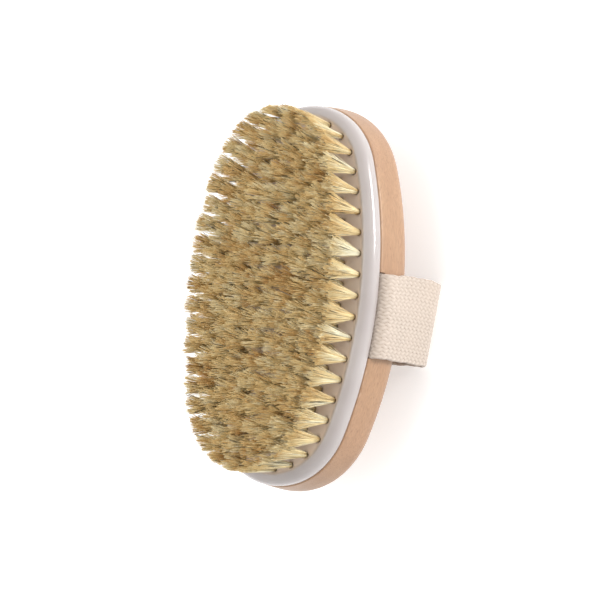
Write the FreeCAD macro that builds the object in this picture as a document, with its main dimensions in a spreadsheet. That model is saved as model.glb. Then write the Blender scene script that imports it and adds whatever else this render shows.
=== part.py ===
import FreeCAD, Part
import math
import os
import Sketcher

# Palm-held dry body brush: oval beech back, rubber cushion with five rings of
# bristle tufts, and a cotton strap for the hand. The bristles point up (+Z),
# the length runs along X, the width along Y, and the brush lies on the flat
# outer face of its strap. Everything is in millimetres.

doc = FreeCAD.newDocument("dry_brush")
sheet = doc.addObject("Spreadsheet::Sheet", "Sizes")

SIZES = [
    # face where cushion and wood meet, measured up from the resting strap
    ("joint_height", 36.5),
    # oval where cushion and wood meet
    ("half_length", 65.0),
    ("half_width", 34.5),
    ("end_radius", 28.5),
    # beech back
    ("wood_thickness", 19.6),
    ("belly_depth", 8.0),
    ("belly_taper", 8.5),
    ("belly_round", 28.0),
    ("crown_radius_width", 150.0),
    ("crown_radius_length", 520.0),
    ("crown_overrun", 12.0),
    ("crown_cut_depth", 25.0),
    ("crown_cut_angle", 40.0),
    ("back_edge_round", 6.5),
    ("front_edge_round", 0.7),
    ("outline_inset", 0.0),
    ("belly_inset", -1.5),
    ("cavity_inset", 8.0),
    ("cavity_depth", 6.0),
    # rubber cushion
    ("cushion_height", 4.9),
    ("rim_round", 3.4),
    ("cushion_hollow", 1.6),
    ("skirt_inset", 8.15),
    ("skirt_inner_inset", 9.9),
    ("skirt_depth", 3.2),
    ("tuft_hole_diameter", 3.0),
    ("tuft_hole_overrun", 2.0),
    # bristle tufts
    ("first_ring_inset", 5.5),
    ("ring_pitch", 6.4),
    ("tuft_pitch", 6.9),
    ("inner_row_reach", 34.0),
    ("tuft_root_diameter", 2.6),
    ("tuft_tip_diameter", 5.4),
    ("tuft_root_bottom", 2.2),
    ("tuft_flare_start", 5.2),
    ("tuft_tip_height", 21.5),
    ("tuft_lean", 0.6),
    ("tuft_tip_gap", 0.05),
    ("anchor_length", 2.0),
    ("anchor_thickness", 0.4),
    ("anchor_height", 1.2),
    ("anchor_lift", 0.3),
    # cotton strap
    ("strap_width", 28.0),
    ("strap_thickness", 1.8),
    ("strap_center", -5.5),
    ("strap_outer_half_span", 38.3),
    ("strap_corner_radius", 9.6),
    ("strap_top_bend_radius", 2.5),
    ("strap_tab_reach", 27.2),
    ("rebate_depth", 1.95),
    ("rebate_clearance", 0.4),
    ("rebate_overrun", 4.0),
    # staples under the rim of the cushion
    ("staple_wire", 0.6),
    ("staple_crown", 9.0),
    ("staple_leg", 6.0),
    ("staple_spacing", 13.0),
    ("staple_reach", 30.6),
]

RINGS = 5
LEAN_FALL = 0.5       # each ring leans this share of the ring outside it
PLANE_TOLERANCE = 0.01
RIM_DISTANCE = 20     # the rims lie farther than this from the long axis
BACK_RIM_RISE = 8.5   # how far the crowned back's rim climbs towards the tips

for row, (name, value) in enumerate(SIZES, start=1):
    sheet.set("A%d" % row, name)
    sheet.set("B%d" % row, str(value))
    sheet.setAlias("B%d" % row, name)
doc.recompute()


def size(name):
    return float(getattr(sheet, name))


def bind(obj, prop, formula):
    obj.setExpression(prop, formula)


def body(label):
    made = doc.addObject("PartDesign::Body", label)
    made.Label = label
    return made


def origin_plane(owner, role):
    for feature in owner.Origin.OriginFeatures:
        if feature.Role == role:
            return feature
    raise ValueError(role)


def sketch_on(owner, name, role="XY_Plane", lift=None):
    made = owner.newObject("Sketcher::SketchObject", name)
    made.AttachmentSupport = [(origin_plane(owner, role), "")]
    made.MapMode = "FlatFace"
    if lift:
        bind(made, "AttachmentOffset.Base.z", lift)
    return made


def oval_radii(half_length, half_width, end_radius):
    """Drop of the side arcs' centres past the long axis, and their radius."""
    along = half_length - end_radius
    side = (along ** 2 + half_width ** 2 - end_radius ** 2) / (2 * (half_width - end_radius))
    return side - half_width, side


def add_oval(sketch, inset):
    """Four tangent arcs: the driving oval moved inwards by the size named inset."""
    half_length = size("half_length") - size(inset)
    half_width = size("half_width") - size(inset)
    radius = size("end_radius") - size(inset)
    drop, side = oval_radii(half_length, half_width, radius)
    along = half_length - radius
    turn = math.atan2(drop, along)
    up = FreeCAD.Vector(0, 0, 1)

    def arc(cx, cy, arc_radius, start, end):
        base = Part.Circle(FreeCAD.Vector(cx, cy, 0), up, arc_radius)
        return sketch.addGeometry(Part.ArcOfCircle(base, start, end), False)

    east = arc(along, 0, radius, -turn, turn)
    north = arc(0, -drop, side, turn, math.pi - turn)
    west = arc(-along, 0, radius, math.pi - turn, math.pi + turn)
    south = arc(0, drop, side, math.pi + turn, 2 * math.pi - turn)
    add = sketch.addConstraint
    add(Sketcher.Constraint("Tangent", east, 2, north, 1))
    add(Sketcher.Constraint("Tangent", north, 2, west, 1))
    add(Sketcher.Constraint("Tangent", west, 2, south, 1))
    add(Sketcher.Constraint("Coincident", south, 2, east, 1))
    add(Sketcher.Constraint("PointOnObject", east, 3, -1))
    add(Sketcher.Constraint("PointOnObject", west, 3, -1))
    add(Sketcher.Constraint("PointOnObject", north, 3, -2))
    add(Sketcher.Constraint("Equal", east, west))
    add(Sketcher.Constraint("Equal", north, south))
    end = add(Sketcher.Constraint("Radius", east, radius))
    reach = add(Sketcher.Constraint("DistanceX", -1, 1, east, 3, along))
    flank = add(Sketcher.Constraint("Radius", north, side))
    half = "(Sizes.half_width - Sizes.%s)" % inset
    tip = "(Sizes.end_radius - Sizes.%s)" % inset
    gap = "(Sizes.half_length - Sizes.end_radius)"
    bind(sketch, "Constraints[%d]" % end, tip)
    bind(sketch, "Constraints[%d]" % reach, gap)
    bind(sketch, "Constraints[%d]" % flank,
         "(%s^2 + %s^2 - %s^2) / (2 * (%s - %s))" % (gap, half, tip, half, tip))


def add_crown_profile(sketch):
    """Area below a long shallow arc; turned about the sketch's own x axis it
    leaves a back that is curved both across and along the brush."""
    across = size("crown_radius_width")
    along = size("crown_radius_length")
    reach = size("half_length") + size("crown_overrun")
    far = across + size("crown_cut_depth")
    center = along - across
    half_turn = math.asin(reach / along)
    base = Part.Circle(FreeCAD.Vector(0, center, 0), FreeCAD.Vector(0, 0, 1), along)
    arc = sketch.addGeometry(
        Part.ArcOfCircle(base, -math.pi / 2 - half_turn, -math.pi / 2 + half_turn), False)
    edge_y = center - along * math.cos(half_turn)
    near_left = FreeCAD.Vector(-reach, edge_y, 0)
    near_right = FreeCAD.Vector(reach, edge_y, 0)
    far_right = FreeCAD.Vector(reach, -far, 0)
    far_left = FreeCAD.Vector(-reach, -far, 0)
    right = sketch.addGeometry(Part.LineSegment(near_right, far_right), False)
    bottom = sketch.addGeometry(Part.LineSegment(far_right, far_left), False)
    left = sketch.addGeometry(Part.LineSegment(far_left, near_left), False)
    add = sketch.addConstraint
    add(Sketcher.Constraint("Coincident", arc, 2, right, 1))
    add(Sketcher.Constraint("Coincident", right, 2, bottom, 1))
    add(Sketcher.Constraint("Coincident", bottom, 2, left, 1))
    add(Sketcher.Constraint("Coincident", left, 2, arc, 1))
    add(Sketcher.Constraint("Vertical", right))
    add(Sketcher.Constraint("Vertical", left))
    add(Sketcher.Constraint("PointOnObject", arc, 3, -2))
    radius = add(Sketcher.Constraint("Radius", arc, along))
    height = add(Sketcher.Constraint("DistanceY", -1, 1, arc, 3, center))
    width = add(Sketcher.Constraint("DistanceX", left, 1, right, 2, 2 * reach))
    depth = add(Sketcher.Constraint("DistanceY", bottom, 1, -1, 1, far))
    add(Sketcher.Constraint("Symmetric", bottom, 1, bottom, 2, -2))
    bind(sketch, "Constraints[%d]" % radius, "Sizes.crown_radius_length")
    bind(sketch, "Constraints[%d]" % height,
         "Sizes.crown_radius_length - Sizes.crown_radius_width")
    bind(sketch, "Constraints[%d]" % width, "2 * (Sizes.half_length + Sizes.crown_overrun)")
    bind(sketch, "Constraints[%d]" % depth, "Sizes.crown_radius_width + Sizes.crown_cut_depth")


def crown(owner, name):
    """Groove that leaves a doubly curved back, its apex one wood thickness down."""
    sketch = sketch_on(owner, name + "_profile", "XZ_Plane")
    add_crown_profile(sketch)
    bind(sketch, "AttachmentOffset.Base.y", "Sizes.crown_radius_width - Sizes.wood_thickness")
    doc.recompute()
    groove = owner.newObject("PartDesign::Groove", name)
    groove.Profile = sketch
    groove.ReferenceAxis = (sketch, ["H_Axis"])
    groove.Midplane = True
    bind(groove, "Angle", "Sizes.crown_cut_angle")
    doc.recompute()
    return groove


def pad(owner, name, sketch, length, reverse=False, taper=None):
    made = owner.newObject("PartDesign::Pad", name)
    made.Profile = sketch
    made.Reversed = reverse
    bind(made, "Length", length)
    if taper:
        bind(made, "TaperAngle", taper)
    doc.recompute()
    return made


def pocket(owner, name, sketch, length, reverse=False):
    made = owner.newObject("PartDesign::Pocket", name)
    made.Profile = sketch
    made.Reversed = reverse
    bind(made, "Length", length)
    doc.recompute()
    return made


def rim_edges(shape, low, high):
    """Names of the rim's edges whose ends and middle lie between two heights."""
    names = []
    for number, edge in enumerate(shape.Edges, start=1):
        middle = edge.valueAt((edge.FirstParameter + edge.LastParameter) / 2)
        heights = [vertex.Z for vertex in edge.Vertexes] + [middle.z]
        if min(heights) < low - PLANE_TOLERANCE or max(heights) > high + PLANE_TOLERANCE:
            continue
        past_tip = abs(middle.x) > size("half_length") - RIM_DISTANCE
        if past_tip or abs(middle.y) > RIM_DISTANCE:
            names.append("Edge%d" % number)
    return names


def fillet(owner, name, base, names, radius):
    made = owner.newObject("PartDesign::Fillet", name)
    made.Base = (base, names)
    bind(made, "Radius", radius)
    doc.recompute()
    return made


# ---------------------------------------------------------------- beech back
wood = body("wooden_back")
belly = sketch_on(wood, "belly_outline", lift="-Sizes.belly_depth")
add_oval(belly, "belly_inset")
doc.recompute()
pad(wood, "back_block", belly, "Sizes.wood_thickness - Sizes.belly_depth", reverse=True)
flank = pad(wood, "tapered_flank", belly, "Sizes.belly_depth", taper="-Sizes.belly_taper")
belly_z = -size("belly_depth")
seam = rim_edges(flank.Shape, belly_z, belly_z)
fillet(wood, "belly_softening", flank, seam, "Sizes.belly_round")
back = crown(wood, "crowned_back")
back_z = -size("wood_thickness")
rim = rim_edges(back.Shape, back_z, back_z + BACK_RIM_RISE)
rounded = fillet(wood, "back_edge", back, rim, "Sizes.back_edge_round")
front = rim_edges(rounded.Shape, 0, 0)
fillet(wood, "front_edge", rounded, front, "Sizes.front_edge_round")

cavity = sketch_on(wood, "cavity_outline")
add_oval(cavity, "cavity_inset")
doc.recompute()
pocket(wood, "air_cavity", cavity, "Sizes.cavity_depth")


def add_rebate(sketch, sign):
    """Rectangle across the ledge on one long side, open past the wood's edge."""
    half = (size("strap_width") + size("rebate_clearance")) / 2
    middle = size("strap_center")
    inner = size("strap_tab_reach") - size("rebate_clearance")
    outer = size("half_width") + size("rebate_overrun")
    near = sign * inner
    far = sign * outer
    corners = [
        FreeCAD.Vector(middle - half, near, 0),
        FreeCAD.Vector(middle + half, near, 0),
        FreeCAD.Vector(middle + half, far, 0),
        FreeCAD.Vector(middle - half, far, 0),
    ]
    lines = []
    for index in range(4):
        segment = Part.LineSegment(corners[index], corners[(index + 1) % 4])
        lines.append(sketch.addGeometry(segment, False))
    add = sketch.addConstraint
    for index in range(4):
        add(Sketcher.Constraint("Coincident", lines[index], 2, lines[(index + 1) % 4], 1))
    add(Sketcher.Constraint("Horizontal", lines[0]))
    add(Sketcher.Constraint("Horizontal", lines[2]))
    add(Sketcher.Constraint("Vertical", lines[1]))
    add(Sketcher.Constraint("Vertical", lines[3]))
    left = add(Sketcher.Constraint("DistanceX", lines[0], 1, -1, 1, half - middle))
    width = add(Sketcher.Constraint("DistanceX", lines[0], 1, lines[0], 2, 2 * half))
    if sign > 0:
        low = add(Sketcher.Constraint("DistanceY", -1, 1, lines[0], 1, inner))
        high = add(Sketcher.Constraint("DistanceY", -1, 1, lines[2], 1, outer))
    else:
        low = add(Sketcher.Constraint("DistanceY", lines[0], 1, -1, 1, inner))
        high = add(Sketcher.Constraint("DistanceY", lines[2], 1, -1, 1, outer))
    span = "(Sizes.strap_width + Sizes.rebate_clearance)"
    bind(sketch, "Constraints[%d]" % left, span + " / 2 - Sizes.strap_center")
    bind(sketch, "Constraints[%d]" % width, span)
    bind(sketch, "Constraints[%d]" % low, "Sizes.strap_tab_reach - Sizes.rebate_clearance")
    bind(sketch, "Constraints[%d]" % high, "Sizes.half_width + Sizes.rebate_overrun")


rebates = sketch_on(wood, "strap_rebate_outline")
add_rebate(rebates, 1)
add_rebate(rebates, -1)
doc.recompute()
pocket(wood, "strap_rebates", rebates, "Sizes.rebate_depth")
bind(wood, "Placement.Base.z", "Sizes.joint_height")

# ------------------------------------------------------------- bristle tufts


def oval_point(half_length, half_width, end_radius, share):
    """Point and outward direction at a share of the way round a four-arc oval."""
    drop, side = oval_radii(half_length, half_width, end_radius)
    along = half_length - end_radius
    turn = math.atan2(drop, along)
    tip_arc = end_radius * turn
    side_arc = side * (math.pi / 2 - turn)
    quarter = tip_arc + side_arc
    walk = share * 4 * quarter
    corner = int(walk // quarter) % 4
    rest = walk - corner * quarter
    if corner % 2:
        rest = quarter - rest
    if rest <= tip_arc:
        angle = rest / end_radius
        x = along + end_radius * math.cos(angle)
        y = end_radius * math.sin(angle)
    else:
        angle = turn + (rest - tip_arc) / side
        x = side * math.cos(angle)
        y = side * math.sin(angle) - drop
    x_sign = -1 if corner in (1, 2) else 1
    y_sign = -1 if corner in (2, 3) else 1
    place = FreeCAD.Vector(x_sign * x, y_sign * y, 0)
    outward = FreeCAD.Vector(x_sign * math.cos(angle), y_sign * math.sin(angle), 0)
    return place, outward


def oval_length(half_length, half_width, end_radius):
    drop, side = oval_radii(half_length, half_width, end_radius)
    turn = math.atan2(drop, half_length - end_radius)
    return 4 * (end_radius * turn + side * (math.pi / 2 - turn))


def ring_places(number):
    """Tuft roots of one ring and the direction in which each tuft may lean."""
    inset = size("first_ring_inset") + number * size("ring_pitch")
    half_length = size("half_length") - inset
    half_width = size("half_width") - inset
    radius = size("end_radius") - inset
    if radius > 0:
        perimeter = oval_length(half_length, half_width, radius)
        count = 2 * round(perimeter / size("tuft_pitch") / 2)
        return [oval_point(half_length, half_width, radius, (index + 0.5) / count)
                for index in range(count)]
    return inner_places(half_width, ring_places(number - 1))


def inner_places(half_width, ring_outside):
    """The innermost ring closes up into two short straight rows with single tufts
    past their ends, wherever the ring outside leaves room."""
    count = 2 * round(size("inner_row_reach") / size("tuft_pitch"))
    room = size("tuft_tip_diameter") + size("tuft_tip_gap")
    places = []
    for side in (1, 0, -1):
        for index in range(count):
            x = (index - (count - 1) / 2) * size("tuft_pitch")
            place = FreeCAD.Vector(x, side * half_width, 0)
            taken = [other for other, outward in ring_outside + places]
            nearest = min(place.distanceToPoint(other) for other in taken)
            if nearest > room:
                places.append((place, FreeCAD.Vector(0, side, 0)))
    return places


def circle_wire(center, radius):
    circle = Part.Circle(center, FreeCAD.Vector(0, 0, 1), radius)
    return Part.Wire([circle.toShape()])


def tuft(place, outward, lean):
    """Straight root inside the cushion, then a flare that leans outwards."""
    root = size("tuft_root_diameter") / 2
    tip = size("tuft_tip_diameter") / 2
    low = place + FreeCAD.Vector(0, 0, size("tuft_root_bottom"))
    flare = place + FreeCAD.Vector(0, 0, size("tuft_flare_start"))
    top = place + outward * lean + FreeCAD.Vector(0, 0, size("tuft_tip_height"))
    wires = [circle_wire(low, root), circle_wire(flare, root), circle_wire(top, tip)]
    return Part.makeLoft(wires, True, True)


def anchor(place, outward):
    """Flat wire across the fold of the bristles, inside the root."""
    length = size("anchor_length")
    thickness = size("anchor_thickness")
    height = size("anchor_height")
    corner = FreeCAD.Vector(-thickness / 2, -length / 2, 0)
    solid = Part.makeBox(thickness, length, height, corner)
    angle = math.degrees(math.atan2(outward.y, outward.x))
    solid.rotate(FreeCAD.Vector(0, 0, 0), FreeCAD.Vector(0, 0, 1), angle)
    lift = size("tuft_root_bottom") + size("anchor_lift")
    solid.translate(place + FreeCAD.Vector(0, 0, lift))
    return solid


def shaped(label, solids):
    made = doc.addObject("Part::Feature", label)
    made.Label = label
    made.Shape = Part.makeCompound(solids)
    made.Placement = FreeCAD.Placement(
        FreeCAD.Vector(0, 0, size("joint_height")), FreeCAD.Rotation())
    return made


nodes = []
hole_solids = []
hole_start = FreeCAD.Vector(0, 0, -size("tuft_hole_overrun"))
hole_length = size("cushion_height") + 2 * size("tuft_hole_overrun")
for ring in range(RINGS):
    tufts = []
    anchors = []
    lean = size("tuft_lean") * LEAN_FALL ** ring
    for place, outward in ring_places(ring):
        tufts.append(tuft(place, outward, lean))
        anchors.append(anchor(place, outward))
        hole = Part.makeCylinder(
            size("tuft_hole_diameter") / 2, hole_length, place + hole_start)
        hole_solids.append(hole)
    nodes.append(shaped("tuft_ring_%d" % (ring + 1), tufts))
    nodes.append(shaped("tuft_anchors_%d" % (ring + 1), anchors))

# ------------------------------------------------------------ rubber cushion
cap = body("cushion_cap")
cap_outline = sketch_on(cap, "cushion_outline")
add_oval(cap_outline, "outline_inset")
doc.recompute()
block = pad(cap, "cushion_block", cap_outline, "Sizes.cushion_height")
top = size("cushion_height")
fillet(cap, "cushion_rim", block, rim_edges(block.Shape, top, top), "Sizes.rim_round")
skirt = sketch_on(cap, "skirt_outline")
add_oval(skirt, "skirt_inset")
add_oval(skirt, "skirt_inner_inset")
doc.recompute()
pad(cap, "cushion_skirt", skirt, "Sizes.skirt_depth", reverse=True)
hollow = sketch_on(cap, "hollow_outline")
add_oval(hollow, "skirt_inner_inset")
doc.recompute()
pocket(cap, "cushion_hollow", hollow, "Sizes.cushion_hollow", reverse=True)

hole_tool = doc.addObject("Part::Feature", "tuft_holes")
hole_tool.Shape = Part.makeCompound(hole_solids)
cushion = doc.addObject("Part::Cut", "rubber_cushion")
cushion.Label = "rubber_cushion"
cushion.Base = cap
cushion.Tool = hole_tool
bind(cushion, "Placement.Base.z", "Sizes.joint_height")

# --------------------------------------------------------------- cotton strap
strap = body("hand_strap")
path = sketch_on(strap, "strap_path", "YZ_Plane")
half_thick = size("strap_thickness") / 2
leg_y = size("strap_outer_half_span") - half_thick
top_z = -half_thick
tab_y = size("strap_tab_reach")
seat = size("joint_height") - size("rebate_depth") + size("strap_thickness")
bottom_z = half_thick - seat
bend = size("strap_top_bend_radius")
corner = size("strap_corner_radius")


def strap_line(y1, z1, y2, z2):
    segment = Part.LineSegment(FreeCAD.Vector(y1, z1, 0), FreeCAD.Vector(y2, z2, 0))
    return path.addGeometry(segment, False)


def strap_arc(y, z, radius, start, end):
    base = Part.Circle(FreeCAD.Vector(y, z, 0), FreeCAD.Vector(0, 0, 1), radius)
    return path.addGeometry(
        Part.ArcOfCircle(base, math.radians(start), math.radians(end)), False)


tab_right = strap_line(tab_y, top_z, leg_y - bend, top_z)
bend_right = strap_arc(leg_y - bend, top_z - bend, bend, 0, 90)
leg_right = strap_line(leg_y, top_z - bend, leg_y, bottom_z + corner)
fold_right = strap_arc(leg_y - corner, bottom_z + corner, corner, 270, 360)
palm = strap_line(leg_y - corner, bottom_z, corner - leg_y, bottom_z)
fold_left = strap_arc(corner - leg_y, bottom_z + corner, corner, 180, 270)
leg_left = strap_line(-leg_y, bottom_z + corner, -leg_y, top_z - bend)
bend_left = strap_arc(bend - leg_y, top_z - bend, bend, 90, 180)
tab_left = strap_line(bend - leg_y, top_z, -tab_y, top_z)
join = path.addConstraint
join(Sketcher.Constraint("Tangent", tab_right, 2, bend_right, 2))
join(Sketcher.Constraint("Tangent", bend_right, 1, leg_right, 1))
join(Sketcher.Constraint("Tangent", leg_right, 2, fold_right, 2))
join(Sketcher.Constraint("Tangent", fold_right, 1, palm, 1))
join(Sketcher.Constraint("Tangent", palm, 2, fold_left, 2))
join(Sketcher.Constraint("Tangent", fold_left, 1, leg_left, 1))
join(Sketcher.Constraint("Tangent", leg_left, 2, bend_left, 2))
join(Sketcher.Constraint("Tangent", bend_left, 1, tab_left, 1))
for line in (tab_right, palm, tab_left):
    join(Sketcher.Constraint("Horizontal", line))
for line in (leg_right, leg_left):
    join(Sketcher.Constraint("Vertical", line))
join(Sketcher.Constraint("Equal", fold_right, fold_left))
join(Sketcher.Constraint("Symmetric", tab_right, 1, tab_left, 2, -2))
join(Sketcher.Constraint("Symmetric", leg_right, 1, leg_left, 2, -2))
bend_size = join(Sketcher.Constraint("Radius", bend_right, bend))
fold_size = join(Sketcher.Constraint("Radius", fold_right, corner))
tab_size = join(Sketcher.Constraint("DistanceX", -1, 1, tab_right, 1, tab_y))
span_size = join(Sketcher.Constraint("DistanceX", -1, 1, leg_right, 1, leg_y))
top_size = join(Sketcher.Constraint("DistanceY", tab_right, 1, -1, 1, -top_z))
drop_size = join(Sketcher.Constraint("DistanceY", palm, 1, -1, 1, -bottom_z))
bind(path, "Constraints[%d]" % bend_size, "Sizes.strap_top_bend_radius")
bind(path, "Constraints[%d]" % fold_size, "Sizes.strap_corner_radius")
bind(path, "Constraints[%d]" % tab_size, "Sizes.strap_tab_reach")
bind(path, "Constraints[%d]" % span_size,
     "Sizes.strap_outer_half_span - Sizes.strap_thickness / 2")
bind(path, "Constraints[%d]" % top_size, "Sizes.strap_thickness / 2")
bind(path, "Constraints[%d]" % drop_size,
     "Sizes.joint_height - Sizes.rebate_depth + Sizes.strap_thickness / 2")

section = sketch_on(strap, "strap_section", "XZ_Plane", lift="-Sizes.strap_tab_reach")
half_wide = size("strap_width") / 2
corners = [
    FreeCAD.Vector(-half_wide, -2 * half_thick, 0),
    FreeCAD.Vector(half_wide, -2 * half_thick, 0),
    FreeCAD.Vector(half_wide, 0, 0),
    FreeCAD.Vector(-half_wide, 0, 0),
]
sides = []
for index in range(4):
    segment = Part.LineSegment(corners[index], corners[(index + 1) % 4])
    sides.append(section.addGeometry(segment, False))
for index in range(4):
    section.addConstraint(
        Sketcher.Constraint("Coincident", sides[index], 2, sides[(index + 1) % 4], 1))
section.addConstraint(Sketcher.Constraint("Horizontal", sides[0]))
section.addConstraint(Sketcher.Constraint("Vertical", sides[1]))
section.addConstraint(Sketcher.Constraint("Vertical", sides[3]))
section.addConstraint(Sketcher.Constraint("PointOnObject", sides[2], 1, -1))
section.addConstraint(Sketcher.Constraint("Symmetric", sides[2], 1, sides[2], 2, -2))
wide = section.addConstraint(
    Sketcher.Constraint("DistanceX", sides[0], 1, sides[0], 2, 2 * half_wide))
thick = section.addConstraint(
    Sketcher.Constraint("DistanceY", sides[1], 1, sides[1], 2, 2 * half_thick))
bind(section, "Constraints[%d]" % wide, "Sizes.strap_width")
bind(section, "Constraints[%d]" % thick, "Sizes.strap_thickness")
doc.recompute()
sweep = strap.newObject("PartDesign::AdditivePipe", "strap_sweep")
sweep.Profile = section
sweep.Spine = (path, ["Edge%d" % (index + 1) for index in range(9)])
doc.recompute()
bind(strap, "Placement.Base.x", "Sizes.strap_center")
bind(strap, "Placement.Base.z",
     "Sizes.joint_height - Sizes.rebate_depth + Sizes.strap_thickness")

# -------------------------------------------------------------------- staples


def box(name, length, width, height, x, y, z):
    made = doc.addObject("Part::Box", name)
    bind(made, "Length", length)
    bind(made, "Width", width)
    bind(made, "Height", height)
    bind(made, "Placement.Base.x", x)
    bind(made, "Placement.Base.y", y)
    bind(made, "Placement.Base.z", z)
    return made


staples = []
for side_name, side in (("near", -1), ("far", 1)):
    for end_name, end in (("low", -1), ("high", 1)):
        label = "staple_%s_%s" % (side_name, end_name)
        left = "Sizes.strap_center + (%d) * Sizes.staple_spacing / 2" % end
        left = "%s - Sizes.staple_crown / 2" % left
        y = "(%d) * Sizes.staple_reach - Sizes.staple_wire / 2" % side
        top = "Sizes.joint_height - Sizes.rebate_depth + Sizes.strap_thickness"
        bar = box(label + "_bar", "Sizes.staple_crown", "Sizes.staple_wire",
                  "Sizes.staple_wire", left, y, top + " - Sizes.staple_wire")
        leg_a = box(label + "_leg_a", "Sizes.staple_wire", "Sizes.staple_wire",
                    "Sizes.staple_leg", left, y, top + " - Sizes.staple_leg")
        leg_b = box(label + "_leg_b", "Sizes.staple_wire", "Sizes.staple_wire",
                    "Sizes.staple_leg", left + " + Sizes.staple_crown - Sizes.staple_wire",
                    y, top + " - Sizes.staple_leg")
        staple = doc.addObject("Part::MultiFuse", label)
        staple.Shapes = [bar, leg_a, leg_b]
        staples.append(staple)
staple_set = doc.addObject("Part::Compound", "strap_staples")
staple_set.Label = "strap_staples"
staple_set.Links = staples
doc.recompute()

# --------------------------------------------------------------------- export
nodes += [wood, cushion, strap, staple_set]
for item in doc.Objects:
    if "Invalid" in item.State or "Error" in item.State:
        raise RuntimeError("%s is not valid: %s" % (item.Name, item.State))
os.makedirs("parts", exist_ok=True)
for node in nodes:
    if node.Shape.isNull() or not node.Shape.isValid():
        raise RuntimeError("%s has a bad shape" % node.Label)
    node.Shape.exportStep("parts/%s.step" % node.Label)
    limits = node.Shape.BoundBox
    print(node.Label, "solids", len(node.Shape.Solids), "volume %.1f" % node.Shape.Volume,
          "box %.2f %.2f %.2f to %.2f %.2f %.2f" % (
              limits.XMin, limits.YMin, limits.ZMin, limits.XMax, limits.YMax, limits.ZMax))
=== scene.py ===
import math

import bpy
import numpy as np
from mathutils import Matrix, Quaternion, Vector


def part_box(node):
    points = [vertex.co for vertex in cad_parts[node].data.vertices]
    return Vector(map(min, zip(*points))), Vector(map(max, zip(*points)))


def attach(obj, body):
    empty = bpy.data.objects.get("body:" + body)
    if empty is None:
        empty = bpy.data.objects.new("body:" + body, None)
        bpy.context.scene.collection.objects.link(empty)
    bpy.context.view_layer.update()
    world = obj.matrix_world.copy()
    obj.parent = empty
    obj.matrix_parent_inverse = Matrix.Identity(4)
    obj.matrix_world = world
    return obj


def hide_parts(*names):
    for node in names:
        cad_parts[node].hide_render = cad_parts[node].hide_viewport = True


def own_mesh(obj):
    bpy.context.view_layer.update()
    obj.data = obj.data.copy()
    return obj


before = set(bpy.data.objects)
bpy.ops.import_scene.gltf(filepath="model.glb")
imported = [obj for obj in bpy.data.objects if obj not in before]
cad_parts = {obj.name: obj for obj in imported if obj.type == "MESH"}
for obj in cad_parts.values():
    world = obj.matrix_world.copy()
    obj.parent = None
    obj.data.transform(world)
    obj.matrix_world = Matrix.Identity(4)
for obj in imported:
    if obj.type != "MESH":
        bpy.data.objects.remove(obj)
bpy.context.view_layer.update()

# Palm-held dry brush lying on its strap with the bristles up: +X along the
# brush, +Z the way the bristles point. All lengths below are in metres.
MM = 0.001
rng = np.random.default_rng(214)

strap_low, strap_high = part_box("hand_strap")
JOINT_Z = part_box("wooden_back")[1][2]
HALF_LENGTH, HALF_WIDTH, CUSHION_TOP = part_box("rubber_cushion")[1]
END_RADIUS = 28.5 * MM


# ------------------------------------------------------------------ helpers
def mesh_object(name, points, faces, smooth=True):
    mesh = bpy.data.meshes.new(name)
    mesh.from_pydata(np.asarray(points).tolist(), [], [list(map(int, f)) for f in faces])
    mesh.validate()
    mesh.polygons.foreach_set("use_smooth", [smooth] * len(mesh.polygons))
    mesh.update()
    made = bpy.data.objects.new(name, mesh)
    bpy.context.scene.collection.objects.link(made)
    return made


def add_attribute(piece, name, values):
    layer = piece.data.attributes.new(name, "FLOAT", "POINT")
    layer.data.foreach_set("value", np.asarray(values, dtype=np.float32))


def use_material(piece, material):
    piece.data.materials.clear()
    piece.data.materials.append(material)


def smooth_step(values, low, high):
    share = np.clip((values - low) / (high - low), 0, 1)
    return share * share * (3 - 2 * share)


def loop_faces(rows, loop, flip=False):
    """Quads between neighbouring rows of points, each row a closed loop. They
    face the other way with flip."""
    faces = []
    for low in range(0, (rows - 1) * loop, loop):
        for step in range(loop):
            following = (step + 1) % loop
            others = (low + following, low + loop + following, low + loop + step)
            faces.append((low + step, *(others[::-1] if flip else others)))
    return faces


def oval(count):
    """Points and outward normals evenly spaced round the four-arc oval where the
    cushion meets the wood."""
    along = HALF_LENGTH - END_RADIUS
    side = (along**2 + HALF_WIDTH**2 - END_RADIUS**2) / (2 * (HALF_WIDTH - END_RADIUS))
    drop = side - HALF_WIDTH
    turn = math.atan2(drop, along)
    tip_arc = END_RADIUS * turn
    quarter = tip_arc + side * (math.pi / 2 - turn)
    walk = np.arange(count) / count * 4 * quarter
    corner = (walk // quarter).astype(int) % 4
    rest = walk - corner * quarter
    rest = np.where(corner % 2 == 1, quarter - rest, rest)
    on_tip = rest <= tip_arc
    angle = np.where(on_tip, rest / END_RADIUS, turn + (rest - tip_arc) / side)
    radius = np.where(on_tip, END_RADIUS, side)
    x = np.where(on_tip, along, 0) + radius * np.cos(angle)
    y = np.where(on_tip, 0, -drop) + radius * np.sin(angle)
    x_sign = np.where((corner == 1) | (corner == 2), -1, 1)
    y_sign = np.where(corner >= 2, -1, 1)
    points = np.stack([x_sign * x, y_sign * y], axis=1)
    normals = np.stack([x_sign * np.cos(angle), y_sign * np.sin(angle)], axis=1)
    return points, normals


# --------------------------------------------------------- tufts of the CAD model
RING_COUNT = 5
SAME_POINT = 2e-3 * MM
END_BAND = 0.01 * MM


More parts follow.
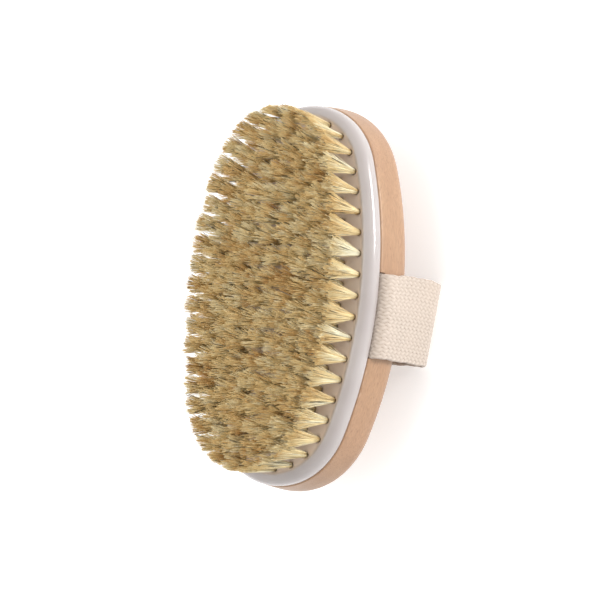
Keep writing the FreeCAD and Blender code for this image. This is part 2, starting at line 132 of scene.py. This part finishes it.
def solids_of(name):
    """The separate solids of a CAD node, each as an array of its points."""
    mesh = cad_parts[name].data
    points = np.empty(len(mesh.vertices) * 3)
    mesh.vertices.foreach_get("co", points)
    points = points.reshape(-1, 3)
    _, shared = np.unique(np.round(points / SAME_POINT), axis=0, return_inverse=True)
    shared = shared.reshape(-1)
    edges = np.empty(len(mesh.edges) * 2, dtype=np.int64)
    mesh.edges.foreach_get("vertices", edges)
    ends = shared[edges].reshape(-1, 2)
    label = np.arange(shared.max() + 1)
    while True:
        before = label.copy()
        lowest = np.minimum(label[ends[:, 0]], label[ends[:, 1]])
        np.minimum.at(label, ends[:, 0], lowest)
        np.minimum.at(label, ends[:, 1], lowest)
        label = label[label]
        if np.array_equal(label, before):
            break
    owner = label[shared]
    return [points[owner == value] for value in np.unique(owner)]


def tufts_of(name):
    """Middle of the root's end and of the tip's end of every tuft in a ring."""
    found = []
    for points in solids_of(name):
        heights = points[:, 2]
        root = points[heights < heights.min() + END_BAND].mean(axis=0)
        tip = points[heights > heights.max() - END_BAND].mean(axis=0)
        found.append((root, tip))
    return found


rings = [tufts_of("tuft_ring_%d" % (number + 1)) for number in range(RING_COUNT)]
roots = np.array([root for ring in rings for root, tip in ring])


# ---------------------------------------------------------------- materials
WHITE = (1.0, 1.0, 1.0)
BLACK = (0.0, 0.0, 0.0)


def grey(level):
    return (level, level, level)


def new_material(name):
    material = bpy.data.materials.new(name)
    material.use_nodes = True
    tree = material.node_tree
    shader = tree.nodes["Principled BSDF"]
    return material, tree, shader


def node(tree, kind, **settings):
    made = tree.nodes.new(kind)
    for key, value in settings.items():
        setattr(made, key, value)
    return made


def attribute(tree, name):
    return node(tree, "ShaderNodeAttribute", attribute_name=name).outputs["Fac"]


def link(tree, source, target):
    tree.links.new(source, target)


def noise(tree, per_metre, detail=3.0, roughness=0.5, distortion=0.0):
    """Noise in object space; per_metre is how many of its cells fit in a metre
    along x, y and z."""
    place = node(tree, "ShaderNodeTexCoord")
    mapping = node(tree, "ShaderNodeMapping")
    mapping.inputs["Scale"].default_value = per_metre
    link(tree, place.outputs["Object"], mapping.inputs["Vector"])
    made = node(tree, "ShaderNodeTexNoise")
    link(tree, mapping.outputs["Vector"], made.inputs["Vector"])
    made.inputs["Scale"].default_value = 1.0
    made.inputs["Detail"].default_value = detail
    made.inputs["Roughness"].default_value = roughness
    made.inputs["Distortion"].default_value = distortion
    return made.outputs["Fac"]


def ramp(tree, source, stops):
    made = node(tree, "ShaderNodeValToRGB")
    elements = made.color_ramp.elements
    for index, (position, color) in enumerate(stops):
        element = elements[index] if index < 2 else elements.new(position)
        element.position = position
        element.color = (*color, 1)
    link(tree, source, made.inputs["Fac"])
    return made.outputs["Color"]


def mix(tree, amount, first, second, blend="MIX"):
    made = node(tree, "ShaderNodeMix", data_type="RGBA", blend_type=blend)
    for socket, value in (("Factor", amount), ("A", first), ("B", second)):
        target = [s for s in made.inputs if s.name == socket and s.enabled][0]
        if isinstance(value, bpy.types.NodeSocket):
            link(tree, value, target)
        elif socket == "Factor":
            target.default_value = value
        else:
            target.default_value = (*value, 1)
    return [s for s in made.outputs if s.enabled][0]


def bump(tree, shader, height, strength, distance):
    made = node(tree, "ShaderNodeBump")
    made.inputs["Strength"].default_value = strength
    made.inputs["Distance"].default_value = distance
    link(tree, height, made.inputs["Height"])
    link(tree, made.outputs["Normal"], shader.inputs["Normal"])


def beech():
    """Pinkish pale beech: faint growth bands and short darker flecks along X."""
    material, tree, shader = new_material("beech")
    bands = noise(tree, (9, 160, 160), detail=4, roughness=0.6, distortion=0.4)
    fibres = noise(tree, (120, 2600, 2600), detail=3, roughness=0.6)
    flecks = noise(tree, (420, 2400, 2400), detail=1, roughness=0.4)
    cloud = noise(tree, (30, 60, 60), detail=2)
    color = ramp(tree, bands, [(0.3, (0.36, 0.202, 0.107)), (0.7, (0.45, 0.27, 0.154))])
    patches = ramp(tree, cloud, [(0.35, BLACK), (0.75, grey(0.5))])
    color = mix(tree, patches, color, (0.40, 0.225, 0.135))
    grain = ramp(tree, fibres, [(0.3, grey(0.56)), (0.62, WHITE)])
    color = mix(tree, 0.45, color, grain, "MULTIPLY")
    marks = ramp(tree, flecks, [(0.62, BLACK), (0.72, grey(0.42))])
    color = mix(tree, marks, color, (0.22, 0.10, 0.05))
    link(tree, color, shader.inputs["Base Color"])
    shader.inputs["Roughness"].default_value = 0.42
    shader.inputs["Coat Weight"].default_value = 0.12
    shader.inputs["Coat Roughness"].default_value = 0.3
    bump(tree, shader, fibres, strength=0.25, distance=0.15 * MM)
    return material


def milky_rubber():
    """Glossy milky rubber, lighter and browner among the tufts with painted light bounced off
    the bristles, and a dark dot of painted shade at each tuft's foot.
    """
    material, tree, shader = new_material("milky_rubber")
    cloud = noise(tree, (60, 60, 60), detail=2)
    color = ramp(tree, cloud, [(0.3, (0.42, 0.378, 0.366)), (0.7, (0.46, 0.418, 0.405))])
    # Lighter and browner among the tufts: painted light bounced off the bristles.
    color = mix(tree, attribute(tree, "inward"), color, (0.74, 0.61, 0.51))
    # Dark dot at each tuft's foot: painted shade of the hole the tuft stands in.
    color = mix(tree, attribute(tree, "root"), color, (0.16, 0.10, 0.065))
    link(tree, color, shader.inputs["Base Color"])
    shader.inputs["Roughness"].default_value = 0.2
    shader.inputs["Subsurface Weight"].default_value = 0.35
    shader.inputs["Subsurface Radius"].default_value = (1.0, 0.9, 0.9)
    shader.inputs["Subsurface Scale"].default_value = 2.0 * MM
    shader.inputs["Coat Weight"].default_value = 0.5
    shader.inputs["Coat Roughness"].default_value = 0.08
    ripple = noise(tree, (300, 300, 300), detail=2)
    bump(tree, shader, ripple, strength=0.05, distance=0.2 * MM)
    return material


def boar_bristle():
    """Pale natural bristle, each strand its own tone, darker at the foot with painted shade
    down among the dense strands, a little tanner at the tip, with dark stretches on a few
    strands."""
    material, tree, shader = new_material("boar_bristle")
    tone = ramp(tree, attribute(tree, "tone"), [
        (0.0, (0.58, 0.345, 0.125)),
        (0.35, (0.88, 0.665, 0.33)),
        (0.75, (0.98, 0.85, 0.52)),
        (1.0, (0.99, 0.94, 0.72)),
    ])
    # Painted shade darkens each strand's foot; the tanner tip is the bristle's own colour.
    foot_shade_tip_tint = ramp(tree, attribute(tree, "height"), [
        (0.0, (0.80, 0.72, 0.60)),
        (0.2, WHITE),
        (0.6, WHITE),
        (1.0, (0.95, 0.86, 0.70)),
    ])
    color = mix(tree, 1.0, tone, foot_shade_tip_tint, "MULTIPLY")
    color = mix(tree, attribute(tree, "dark"), color, (0.035, 0.018, 0.009))
    streak = noise(tree, (900, 900, 120), detail=2)
    lines = ramp(tree, streak, [(0.3, grey(0.6)), (0.6, WHITE)])
    color = mix(tree, 0.35, color, lines, "MULTIPLY")
    link(tree, color, shader.inputs["Base Color"])
    shader.inputs["Roughness"].default_value = 0.38
    shader.inputs["Specular IOR Level"].default_value = 0.45
    return material


def strap_cotton():
    """Undyed cotton: its colour darkens in the hollows of the weave, painted shade read from
    the relief.
    """
    material, tree, shader = new_material("strap_cotton")
    fuzz = noise(tree, (1500, 1500, 1500), detail=4, roughness=0.65)
    stain = noise(tree, (90, 90, 90), detail=2)
    # Dark in the weave's hollows and bright on the yarn tops: painted shade.
    color = ramp(tree, attribute(tree, "relief"), [
        (0.0, (0.20, 0.145, 0.11)),
        (0.25, (0.475, 0.395, 0.33)),
        (1.0, (0.575, 0.495, 0.43)),
    ])
    nap = ramp(tree, fuzz, [(0.3, (0.72, 0.70, 0.66)), (0.65, WHITE)])
    color = mix(tree, 0.25, color, nap, "MULTIPLY")
    patches = ramp(tree, stain, [(0.4, BLACK), (0.8, grey(0.3))])
    color = mix(tree, patches, color, (0.60, 0.49, 0.41))
    link(tree, color, shader.inputs["Base Color"])
    shader.inputs["Roughness"].default_value = 0.9
    shader.inputs["Sheen Weight"].default_value = 0.25
    bump(tree, shader, fuzz, strength=0.6, distance=0.12 * MM)
    return material


def drawn_steel(name, tint):
    material, tree, shader = new_material(name)
    lines = noise(tree, (500, 4000, 4000), detail=3)
    color = ramp(tree, lines, [(0.3, grey(tint * 0.8)), (0.7, grey(tint))])
    link(tree, color, shader.inputs["Base Color"])
    shader.inputs["Metallic"].default_value = 1.0
    shader.inputs["Roughness"].default_value = 0.3
    bump(tree, shader, lines, strength=0.1, distance=0.05 * MM)
    return material


def studio_floor():
    """White paper that glows a little, so that it stays white under the brush."""
    material, tree, shader = new_material("studio_floor")
    paper = noise(tree, (40, 40, 40), detail=2)
    color = ramp(tree, paper, [(0.3, grey(0.90)), (0.7, grey(0.91))])
    link(tree, color, shader.inputs["Base Color"])
    shader.inputs["Roughness"].default_value = 0.9
    shader.inputs["Specular IOR Level"].default_value = 0.1
    shader.inputs["Emission Color"].default_value = (*WHITE, 1)
    shader.inputs["Emission Strength"].default_value = 0.4
    return material


# --------------------------------------------------------- CAD parts that stay
use_material(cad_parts["wooden_back"], beech())
use_material(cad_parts["strap_staples"], drawn_steel("staple_steel", 0.72))
anchor_wire = drawn_steel("anchor_wire", 0.62)
for number in range(RING_COUNT):
    use_material(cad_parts["tuft_anchors_%d" % (number + 1)], anchor_wire)


# -------------------------------------------------------------- rubber cushion
# An inset is a distance inwards from the oval outline. Between BROWN_FROM and BROWN_TO
# the colour turns lighter and browner, painted light bounced off the bristles, and
# from ROOT_RADIUS in to ROOT_CORE it turns dark, painted shade at each tuft's foot.
AROUND = 640
SIDE_ROWS = 4
RIM_ROWS = 12
EDGE_ROWS = 6
FACE_ROWS = 74
RIM_ROUND = 3.4 * MM
EDGE_INSET = RIM_ROUND + 1.6 * MM
RIDGE_INSET = 3.5 * MM
RIDGE_WIDTH = 0.8 * MM
RIDGE_HEIGHT = 0.28 * MM
CROWN_RISE = 0.5 * MM
CROWN_FROM = RIM_ROUND * 0.6
CROWN_TO = RIM_ROUND + 1.0 * MM
BROWN_FROM = RIDGE_INSET - 0.4 * MM
BROWN_TO = RIDGE_INSET + 1.2 * MM
UNDERSIDE_Z = JOINT_Z + 0.3 * MM
DIMPLE_RADIUS = 1.7 * MM
DIMPLE_DEPTH = 0.7 * MM
ROOT_CORE = 0.75 * MM
ROOT_RADIUS = 1.15 * MM


def cushion_rows():
    """Inset and height of each row up the side, over the rim and on to the edge of
    the face."""
    side_top = CUSHION_TOP - RIM_ROUND
    rows = []
    for share in np.linspace(0, 1, SIDE_ROWS)[:-1]:
        rows.append((0.0, UNDERSIDE_Z + share * (side_top - UNDERSIDE_Z)))
    for angle in np.linspace(0, 1, RIM_ROWS) * math.pi / 2:
        rows.append((RIM_ROUND * (1 - math.cos(angle)), side_top + RIM_ROUND * math.sin(angle)))
    for share in np.linspace(0, 1, EDGE_ROWS)[1:]:
        rows.append((RIM_ROUND + share * (EDGE_INSET - RIM_ROUND), CUSHION_TOP))
    return rows


def cushion_grid():
    """Rows of points from the foot inwards to the middle of the face, then one
    point in the middle of the face and one in the middle of the underside, with
    every point's inset."""
    outline, normal = oval(AROUND)
    points = []
    insets = []
    for inset, height in cushion_rows():
        points.append(np.column_stack([outline - normal * inset, np.full(AROUND, height)]))
        insets.append(np.full(AROUND, inset))
    edge = outline - normal * EDGE_INSET
    for share in np.linspace(1, 0, FACE_ROWS)[1:-1]:
        points.append(np.column_stack([edge * share, np.full(AROUND, CUSHION_TOP)]))
        insets.append(np.full(AROUND, EDGE_INSET + (1 - share) * (HALF_WIDTH - EDGE_INSET)))
    row_count = len(points)
    points.append([[0, 0, CUSHION_TOP], [0, 0, UNDERSIDE_Z]])
    insets.append([HALF_WIDTH, 0])
    return np.concatenate(points), np.concatenate(insets), row_count


def cushion():
    """Closed cap: foot, side, rounded rim, soft ridge, then a crowned face with a
    dimple at every tuft."""
    points, insets, row_count = cushion_grid()
    on_face = smooth_step(insets, CROWN_FROM, CROWN_TO)
    reach = (points[:, 0] / HALF_LENGTH) ** 2 + (points[:, 1] / HALF_WIDTH) ** 2
    points[:, 2] += on_face * CROWN_RISE * np.clip(1 - reach, 0, 1)
    ridge = np.exp(-(((insets - RIDGE_INSET) / RIDGE_WIDTH) ** 2))
    points[:, 2] += ridge * RIDGE_HEIGHT
    root = np.zeros(len(points))
    for place in roots:
        away = np.hypot(points[:, 0] - place[0], points[:, 1] - place[1])
        near = (away < DIMPLE_RADIUS) & (insets > 0)
        points[near, 2] -= DIMPLE_DEPTH * smooth_step(1 - away[near] / DIMPLE_RADIUS, 0, 1)
        # root marks the dot of painted shade round each tuft's foot.
        root[near] = np.maximum(root[near], 1 - smooth_step(away[near], ROOT_CORE, ROOT_RADIUS))
    points[-1, 2] = UNDERSIDE_Z

    faces = loop_faces(row_count, AROUND)
    last = (row_count - 1) * AROUND
    face_middle = len(points) - 2
    underside_middle = len(points) - 1
    for step in range(AROUND):
        following = (step + 1) % AROUND
        faces.append((last + step, last + following, face_middle))
        faces.append((following, step, underside_middle))
    piece = mesh_object("milky_cushion", points, faces)
    # The inward attribute holds the painted light bounced off the bristles among the tufts.
    add_attribute(piece, "inward", smooth_step(insets, BROWN_FROM, BROWN_TO))
    # The root attribute holds the painted shade at each tuft's foot.
    add_attribute(piece, "root", root)
    use_material(piece, milky_rubber())
    return piece


cap = cushion()
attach(cap, "brush_back")
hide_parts("rubber_cushion")


# --------------------------------------------------------------------- bristles
# A tuft's strands start close together in its root and end in a fan. Some are
# drawn together into clumps, some stray out, some are short, a few are dark.
# A pair is the range of a random value, and _VARY marks a standard deviation.
STRANDS = 225
SEGMENTS = 3
SIDES = 3
ROOT_SPREAD = 0.72 * MM
ROOT_SINK = 0.9 * MM
TIP_SPREADS = (3.6 * MM, 3.85 * MM, 3.95 * MM, 4.1 * MM, 4.1 * MM)
SPREAD_VARY = 0.10
OUTER_SHARE = 0.3
STRAY_SHARE = 0.05
STRAY_REACH = (1.1, 1.6)
CLUMPS = 16
CLUMP_PULL = 0.36
CLUMP_PULL_RANGE = (0.4, 1.2)
CLUMP_TONE_VARY = 0.2
CLUMP_DROP_VARY = 0.3 * MM
PLACE_VARY = 0.22 * MM
TIP_TRIM = 0.3 * MM
TUFT_DROP_VARY = 0.45 * MM
LENGTH_VARY = 0.5 * MM
EDGE_DROP = 0.7 * MM
SHORT_SHARE = 0.15
SHORT_DROP = (0.5 * MM, 3.5 * MM)
MIDDLE_SHARE = 0.45
MIDDLE_LAG = 0.16
THICK_LOW = 0.085 * MM
THICK_TIP = 0.065 * MM
TAPER_POWER = 1.5
THICK_VARY = 0.15
THICK_RANGE = (0.6, 1.4)
DARK_SHARE = 0.045
DARK_EXTRA = 0.9
DARK_START = (0.3, 0.8)
DARK_RUN = (0.25, 0.6)
DARK_LEVEL = 0.92
TONE_MIDDLE = 0.63
TONE_VARY = 0.15
TUFT_TONE_VARY = 0.1


def fan_offsets(reach):
    """Where the strands of one tuft start and end round its middle, how far out
    each ends as a share of reach, and which clump each belongs to."""
    turn = rng.uniform(0, 2 * math.pi, STRANDS)
    share = rng.uniform(0, 1, STRANDS) ** 0.5
    around = np.stack([np.cos(turn), np.sin(turn)], axis=1)
    foot = around * (share * ROOT_SPREAD)[:, None]
    stray = rng.uniform(0, 1, STRANDS) < STRAY_SHARE
    spread = reach * share * rng.normal(1.0, SPREAD_VARY, STRANDS)
    spread = np.where(stray, spread * rng.uniform(*STRAY_REACH, STRANDS), spread)
    offset = around * spread[:, None]
    clump_turn = rng.uniform(0, 2 * math.pi, CLUMPS)
    clump_reach = reach * rng.uniform(0, 1, CLUMPS) ** 0.5
    middles = clump_reach[:, None] * np.stack([np.cos(clump_turn), np.sin(clump_turn)], axis=1)
    clump = np.linalg.norm(offset[:, None] - middles[None], axis=2).argmin(axis=1)
    pull = CLUMP_PULL * rng.uniform(*CLUMP_PULL_RANGE, STRANDS)
    offset += (middles[clump] - offset) * pull[:, None]
    offset += rng.normal(0, PLACE_VARY, (STRANDS, 2))
    return foot, offset, spread / reach, clump


def tuft_strands(root, tip, reach, outer):
    """Start, middle, end and tone of every strand of one tuft. An outer tuft
    spreads less towards the rim than along it."""
    foot, offset, out_share, clump = fan_offsets(reach)
    clump_tone = rng.normal(0, CLUMP_TONE_VARY, CLUMPS)[clump]
    clump_drop = rng.normal(0, CLUMP_DROP_VARY, CLUMPS)[clump]
    if outer:
        out = (tip - root)[:2] / np.linalg.norm((tip - root)[:2])
        ahead = offset @ out
        offset -= np.outer(np.where(ahead > 0, ahead * (1 - OUTER_SHARE), 0), out)
    start = np.zeros((STRANDS, 3))
    start[:, :2] = root[:2] + foot
    start[:, 2] = CUSHION_TOP - ROOT_SINK
    end = np.zeros((STRANDS, 3))
    end[:, :2] = tip[:2] + offset
    tuft_drop = rng.normal(0, TUFT_DROP_VARY)
    end[:, 2] = tip[2] - TIP_TRIM + tuft_drop + rng.normal(0, LENGTH_VARY, STRANDS)
    end[:, 2] += clump_drop
    end[:, 2] -= EDGE_DROP * out_share**2
    short = rng.uniform(0, 1, STRANDS) < SHORT_SHARE
    end[:, 2] -= np.where(short, rng.uniform(*SHORT_DROP, STRANDS), 0)
    middle = start + (end - start) * MIDDLE_SHARE
    middle[:, :2] -= (end - start)[:, :2] * MIDDLE_LAG
    middle[:, :2] += rng.normal(0, PLACE_VARY, (STRANDS, 2))
    return start, middle, end, clump_tone


def strand_faces(count):
    """Side, tip and foot faces of strands whose points follow each other, SIDES
    points to a level."""
    pattern = []
    for level in range(0, SEGMENTS * SIDES, SIDES):
        for side in range(SIDES):
            a = level + side
            b = level + (side + 1) % SIDES
            pattern.append((a, b, b + SIDES, a + SIDES))
    first = np.arange(count) * (SEGMENTS + 1) * SIDES
    sides = np.array(pattern)[None] + first[:, None, None]
    tips = SEGMENTS * SIDES + np.arange(SIDES)[None] + first[:, None]
    feet = np.arange(SIDES)[::-1][None] + first[:, None]
    return sides.reshape(-1, 4).tolist() + tips.tolist() + feet.tolist()


def bristles(name, ring, reach, outer):
    """All strands of one ring of tufts as thin tapering prisms."""
    parts = [tuft_strands(root, tip, reach, outer) for root, tip in ring]
    start, middle, end, clump_tone = [np.concatenate(column) for column in zip(*parts)]
    count = len(start)
    shares = np.linspace(0, 1, SEGMENTS + 1)
    line = np.stack([
        start * (1 - t) ** 2 + middle * 2 * t * (1 - t) + end * t**2 for t in shares
    ], axis=1)
    along = end - start
    along /= np.linalg.norm(along, axis=1)[:, None]
    across = np.cross(along, [1.0, 0.0, 0.0])
    across /= np.linalg.norm(across, axis=1)[:, None]
    other = np.cross(along, across)
    spin = rng.uniform(0, 2 * math.pi, count)
    dark = (rng.uniform(0, 1, count) < DARK_SHARE).astype(float)
    size = rng.normal(1.0, THICK_VARY, count).clip(*THICK_RANGE) * (1 + DARK_EXTRA * dark)
    thick = THICK_LOW + (THICK_TIP - THICK_LOW) * shares**TAPER_POWER
    corners = []
    for side in range(SIDES):
        angle = spin + 2 * math.pi * side / SIDES
        out = np.cos(angle)[:, None] * across + np.sin(angle)[:, None] * other
        corners.append(line + out[:, None, :] * (thick[None, :] * size[:, None])[:, :, None])
    points = np.stack(corners, axis=2).reshape(-1, 3)
    piece = mesh_object(name, points, strand_faces(count))

    tuft_tone = np.repeat(rng.normal(0, TUFT_TONE_VARY, len(ring)), STRANDS)
    tone = (rng.normal(TONE_MIDDLE, TONE_VARY, count) + tuft_tone + clump_tone).clip(0, 1)
    dark_from = rng.uniform(*DARK_START, count)
    dark_to = dark_from + rng.uniform(*DARK_RUN, count)
    level = np.repeat(shares, SIDES)[None]
    inside = (level >= dark_from[:, None]) & (level <= dark_to[:, None])
    add_attribute(piece, "tone", np.repeat(tone, (SEGMENTS + 1) * SIDES))
    add_attribute(piece, "height", np.tile(np.repeat(shares, SIDES), count))
    add_attribute(piece, "dark", (inside * dark[:, None] * DARK_LEVEL).reshape(-1))
    return piece


bristle_material = boar_bristle()
for number, ring in enumerate(rings, start=1):
    piece = bristles("bristle_ring_%d" % number, ring, TIP_SPREADS[number - 1], number == 1)
    use_material(piece, bristle_material)
    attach(piece, "bristle_field")
    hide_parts("tuft_ring_%d" % number)


# ------------------------------------------------------------------ cotton strap
# The strap lies along a flat line in the (y, z) plane. Depth runs from 0 at the
# rim of the cushion to 1 at the palm side.
STRAP_THICK = 1.8 * MM
STRAP_BEND = 2.5 * MM
STRAP_FOLD = 9.6 * MM
TAB_REACH = 27.2 * MM
ALONG_STEP = 0.42 * MM
ACROSS_STEP = 0.27 * MM
ARC_STEPS = 40
EDGE_ROUND = 0.35 * MM
EDGE_STEPS = 6
CLOSEST = 1e-4 * MM

# The weave: columns of yarns that lean to and fro.
RELIEF = 0.23 * MM
YARN_WIDTH = 1.2 * MM
YARN_SWAY = 0.22
YARN_LENGTH = 2.4 * MM
YARN_SHIFT = 0.5
YARN_STRAY = 0.12
STRAY_TURN = 2.3
YARN_ROUND = 0.8
YARN_DIP = 0.3

# How the strap leaves its straight line on each leg between rim and fold: one
# edge bows out, the edges waver, it is narrower under the rim, it lies against
# the curved side of the wood, and it twists towards the palm.
LEG_FROM = 20 * MM
LEG_TO = strap_high[1] - STRAP_FOLD * 0.6
EDGE_BOW = 1.0 * MM
WAVERS = ((0.12 * MM, 1.9 * MM), (0.08 * MM, 0.83 * MM))
WAVER_POWER = 5
NECK = 0.4 * MM
NECK_DEPTHS = (0.1, 0.6)
SIDE_RADIUS = 129.0 * MM
HUG_FADE = 1.15
HUG_FROM = 33 * MM
HUG_TO = 36 * MM
TWIST = 0.1
TWIST_DEPTHS = (0.15, 0.95)


def strap_line():
    """Centre line of the strap in the (y, z) plane from the far tab round the
    palm side to the near tab, evenly spaced, with its normals."""
    half_thick = STRAP_THICK / 2
    leg_y = strap_high[1] - half_thick
    top_z = strap_high[2] - half_thick
    palm_z = strap_low[2] + half_thick
    path = [np.array([[TAB_REACH, top_z], [leg_y - STRAP_BEND, top_z]])]
    for radius, center, first, last in (
        (STRAP_BEND, (leg_y - STRAP_BEND, top_z - STRAP_BEND), 90, 0),
        (STRAP_FOLD, (leg_y - STRAP_FOLD, palm_z + STRAP_FOLD), 0, -90),
    ):
        angle = np.radians(np.linspace(first, last, ARC_STEPS))
        path.append(np.stack([center[0] + radius * np.cos(angle),
                              center[1] + radius * np.sin(angle)], axis=1))
    half = np.concatenate(path)
    whole = np.concatenate([half, half[::-1] * [-1, 1]])
    keep = np.append(True, np.linalg.norm(np.diff(whole, axis=0), axis=1) > CLOSEST)
    whole = whole[keep]
    steps = np.append(0, np.cumsum(np.linalg.norm(np.diff(whole, axis=0), axis=1)))
    walk = np.linspace(0, steps[-1], int(steps[-1] / ALONG_STEP))
    line = np.stack([np.interp(walk, steps, whole[:, axis]) for axis in (0, 1)], axis=1)
    direction = np.gradient(line, axis=0)
    direction /= np.linalg.norm(direction, axis=1)[:, None]
    outward = np.stack([-direction[:, 1], direction[:, 0]], axis=1)
    return line, outward, walk


def strap_section(half_width):
    """Points once round the strap's section: how far across each lies, and its
    side, which is 1 and -1 on the two faces and between them round the edges."""
    flat = half_width - EDGE_ROUND
    columns = int(2 * half_width / ACROSS_STEP)
    spread = np.linspace(-flat, flat, columns)
    turn = np.radians(np.linspace(-90, 90, EDGE_STEPS)[1:-1])
    bulge = EDGE_ROUND * np.cos(turn)
    across = np.concatenate([spread, flat + bulge, spread[::-1], -flat - bulge])
    face = np.ones(columns)
    side = np.concatenate([face, -np.sin(turn), -face, np.sin(turn)])
    return across, side


def weave(along, across, half_width):
    """Height of the weave, 0 in a hollow and 1 on top of a yarn."""
    sway = YARN_SWAY * np.sin(2 * math.pi * along / YARN_LENGTH)
    place = (across + half_width) / YARN_WIDTH + sway
    column = np.floor(place)
    ridge = np.sin(math.pi * np.clip(place - column, 0, 1)) ** YARN_ROUND
    shift = YARN_SHIFT * column + YARN_STRAY * np.sin(column * STRAY_TURN)
    swell = 0.5 + 0.5 * np.cos(2 * math.pi * (along / YARN_LENGTH + shift))
    return ridge * (YARN_DIP + (1 - YARN_DIP) * swell**YARN_ROUND)


def strap():
    """The woven band: its section carried along its line, closed at both tabs.
    Returns it with its flat width and length."""
    line, outward, walk = strap_line()
    center_x = (strap_low[0] + strap_high[0]) / 2
    half_width = (strap_high[0] - strap_low[0]) / 2
    across, side = strap_section(half_width)
    height = weave(walk[:, None], across[None], half_width)
    thick = side * (STRAP_THICK / 2 - RELIEF * (1 - height))
    line_y, line_z = line[:, :1], line[:, 1:]
    outward_y, outward_z = outward[:, :1], outward[:, 1:]
    depth = (strap_high[2] - line_z) / (strap_high[2] - strap_low[2])
    on_leg = smooth_step(np.abs(line_y), LEG_FROM, LEG_TO)
    from_middle = across / half_width
    from_low_edge = (1 + from_middle) / 2

    bow = EDGE_BOW * np.sin(math.pi * np.clip(depth, 0, 1)) * on_leg
    neck = NECK * (1 - smooth_step(depth, *NECK_DEPTHS)) * on_leg
    waver = sum(size * np.sin(walk / length) for size, length in WAVERS)
    x = center_x + across + (bow - neck) * from_low_edge
    x += waver[:, None] * from_middle**WAVER_POWER
    hug = np.clip(1 - depth * HUG_FADE, 0, 1) * smooth_step(np.abs(line_y), HUG_FROM, HUG_TO)
    inward = x**2 / (2 * SIDE_RADIUS) * hug
    y = line_y + outward_y * thick - np.sign(line_y) * inward
    z = line_z + outward_z * thick
    y -= TWIST * (x - center_x) * smooth_step(depth, *TWIST_DEPTHS)

    rows, loop = height.shape
    faces = loop_faces(rows, loop, flip=True)
    faces.append(tuple(range(loop)))
    faces.append(tuple(reversed(range((rows - 1) * loop, rows * loop))))
    piece = mesh_object("cotton_strap", np.stack([x, y, z], axis=2).reshape(-1, 3), faces)
    add_attribute(piece, "relief", height.reshape(-1))
    use_material(piece, strap_cotton())
    return piece, 2 * half_width, walk[-1]


band, band_width, band_length = strap()
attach(band, "brush_back")
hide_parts("hand_strap")
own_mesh(cap)


# ------------------------------------------------------- floor, camera and light
FLOOR_REACH = 6.0
FLOOR_GAP = 0.05 * MM
VIEW_AZIMUTH = -7.0
VIEW_ELEVATION = 51.7
VIEW_DISTANCE = 0.5
IMAGE_TILT = 6.4
AIM = Vector((-1.7 * MM, -1.5 * MM, JOINT_Z - 1.2 * MM))
LENS = 88.2
SENSOR = 36.0

floor = mesh_object("studio_floor", [
    (-FLOOR_REACH, -FLOOR_REACH, 0), (FLOOR_REACH, -FLOOR_REACH, 0),
    (FLOOR_REACH, FLOOR_REACH, 0), (-FLOOR_REACH, FLOOR_REACH, 0),
], [(0, 1, 2, 3)], smooth=False)
floor.location.z = strap_low[2] - FLOOR_GAP
use_material(floor, studio_floor())


def camera():
    """Camera above the long near side with the brush upright in the picture.
    Returns the picture's right, its up and the way back to the camera."""
    azimuth = math.radians(VIEW_AZIMUTH)
    elevation = math.radians(VIEW_ELEVATION)
    back = Vector((math.cos(elevation) * math.sin(azimuth),
                   -math.cos(elevation) * math.cos(azimuth), math.sin(elevation)))
    length = Vector((1, 0, 0))
    up = (length - back * length.dot(back)).normalized()
    up = Quaternion(back, math.radians(IMAGE_TILT)) @ up
    right = up.cross(back)
    data = bpy.data.cameras.new("photo_view")
    data.lens = LENS
    data.sensor_width = SENSOR
    made = bpy.data.objects.new("photo_view", data)
    turn = Matrix((right, up, back)).transposed().to_4x4()
    made.matrix_world = Matrix.Translation(AIM + back * VIEW_DISTANCE) @ turn
    bpy.context.scene.collection.objects.link(made)
    bpy.context.scene.camera = made
    return right, up, back


def area_light(name, direction, distance, size, power):
    data = bpy.data.lights.new(name, "AREA")
    data.shape = "DISK"
    data.size = size
    data.energy = power
    made = bpy.data.objects.new(name, data)
    place = AIM + direction.normalized() * distance
    made.location = place
    made.rotation_euler = (AIM - place).to_track_quat("-Z", "Y").to_euler()
    bpy.context.scene.collection.objects.link(made)


# The key lies low in front of the near long side. The other two are overhead.
right, up, back = camera()
area_light("key", right * 0.9 + up * 0.5 + back * 0.6, distance=0.7, size=0.25, power=5.0)
area_light("fill", -right * 0.8 + up * 0.1 + back * 0.9, distance=0.9, size=0.6, power=1.0)
area_light("top", Vector((0.2, 0.1, 1.0)), distance=0.9, size=0.5, power=0.8)

world = bpy.data.worlds.new("studio")
world.use_nodes = True
sky = world.node_tree.nodes["Background"]
sky.inputs["Color"].default_value = (*WHITE, 1)
sky.inputs["Strength"].default_value = 0.85
bpy.context.scene.world = world
bpy.context.scene.view_settings.view_transform = "Standard"
